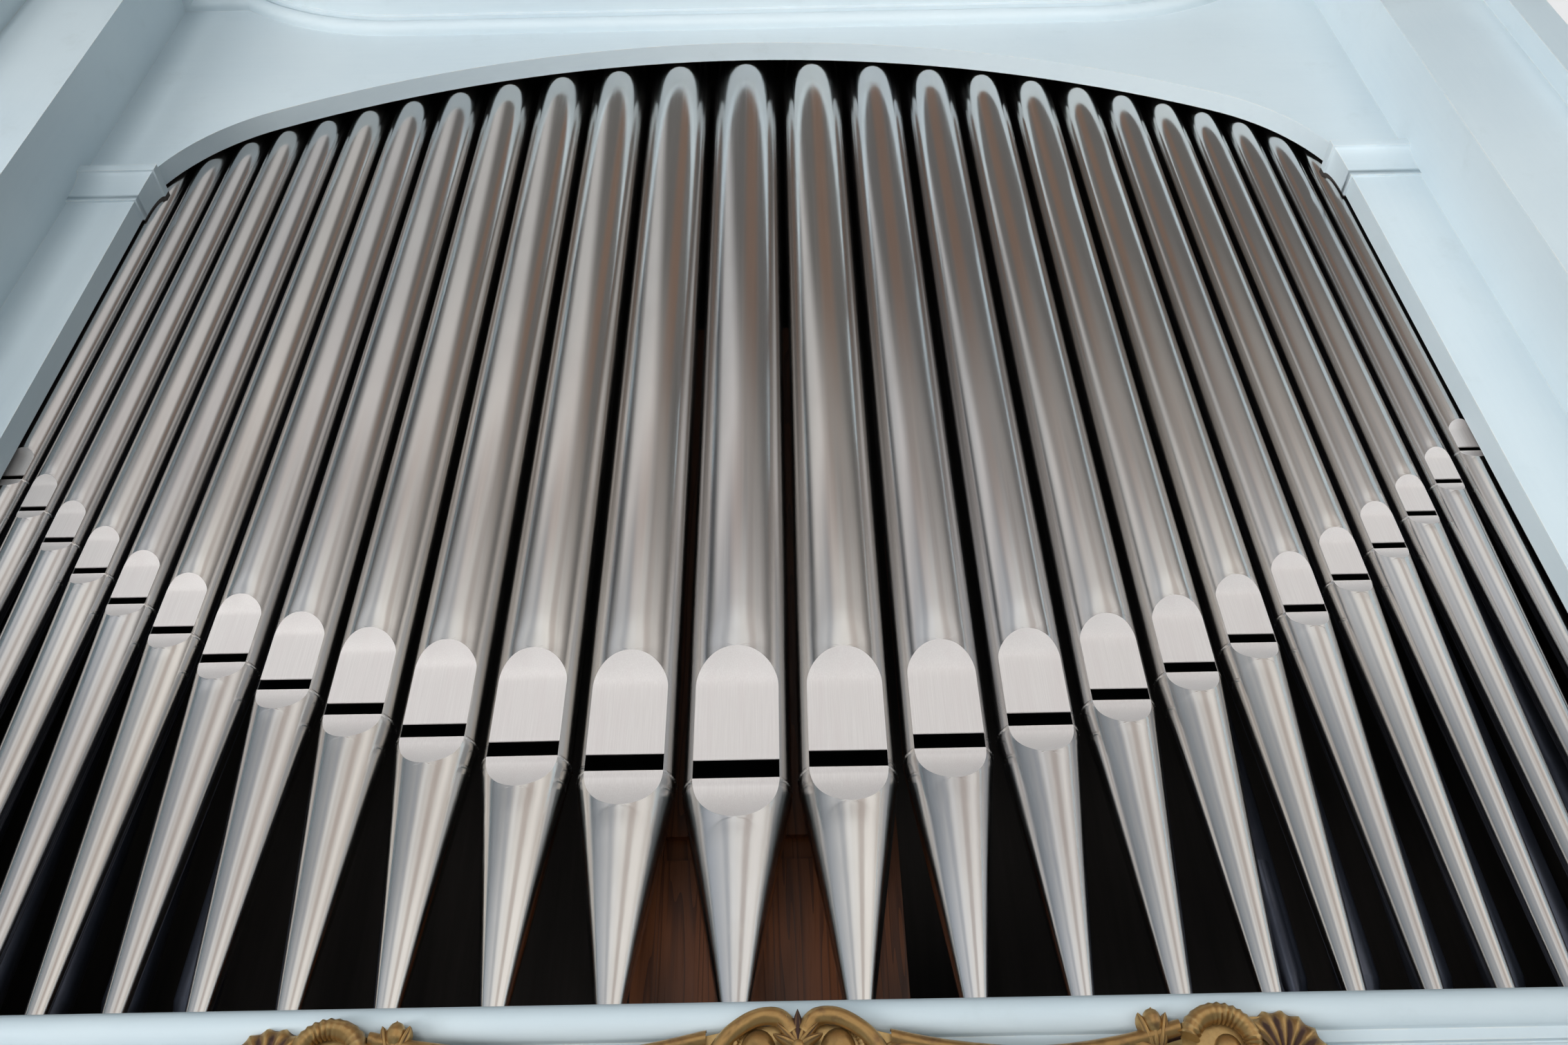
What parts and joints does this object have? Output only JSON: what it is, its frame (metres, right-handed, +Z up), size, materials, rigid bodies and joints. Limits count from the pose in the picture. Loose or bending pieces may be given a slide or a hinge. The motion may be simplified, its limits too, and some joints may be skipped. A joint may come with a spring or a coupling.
{
  "type": "pipe organ",
  "caption": "Pipe organ: a flat row of flue pipes with round lips under an arched panel, in a painted case with stepped piers, moulded rails and a gilded carving.",
  "frame": {"origin": "middle of the footprint, at floor level", "axes": "+X along the facade to the right as seen from the front, +Y from the front to the back, +Z up"},
  "size_m": [3.734, 1.1948, 4.8936],
  "materials": {
    "case_paint": "pale blue-white satin paint on wood",
    "pipe_metal": "planed tin, softly streaked along the pipe",
    "zinc": "dull dark zinc",
    "pine": "bare orange-brown pine",
    "chest_wood": "plain oiled wood",
    "gilding": "old gilding with brown patina"
  },
  "bodies": {
    "root": {"plinth": "case_paint", "lower_front": "case_paint", "side_wall_left": "case_paint", "side_wall_right": "case_paint", "back_wall": "case_paint", "roof": "case_paint", "pier_left": "case_paint", "pier_right": "case_paint", "impost": "case_paint", "stile_left": "case_paint", "stile_right": "case_paint", "capital_left": "case_paint", "capital_right": "case_paint", "arch_panel": "case_paint", "cornice": "case_paint", "toe_board": "chest_wood", "windchest": "chest_wood", "zinc_pipes": "zinc", "wooden_pipes": "pine", "carving": "gilding", "pipe_middle": "pipe_metal", "pipe_left_1": "pipe_metal", "pipe_left_2": "pipe_metal", "pipe_left_3": "pipe_metal", "pipe_left_4": "pipe_metal", "pipe_left_5": "pipe_metal", "pipe_left_6": "pipe_metal", "pipe_left_7": "pipe_metal", "pipe_left_8": "pipe_metal", "pipe_left_9": "pipe_metal", "pipe_left_10": "pipe_metal", "pipe_left_11": "pipe_metal", "pipe_left_12": "pipe_metal", "pipe_right_1": "pipe_metal", "pipe_right_2": "pipe_metal", "pipe_right_3": "pipe_metal", "pipe_right_4": "pipe_metal", "pipe_right_5": "pipe_metal", "pipe_right_6": "pipe_metal", "pipe_right_7": "pipe_metal", "pipe_right_8": "pipe_metal", "pipe_right_9": "pipe_metal", "pipe_right_10": "pipe_metal", "pipe_right_11": "pipe_metal", "pipe_right_12": "pipe_metal"}
  },
  "joints": []
}
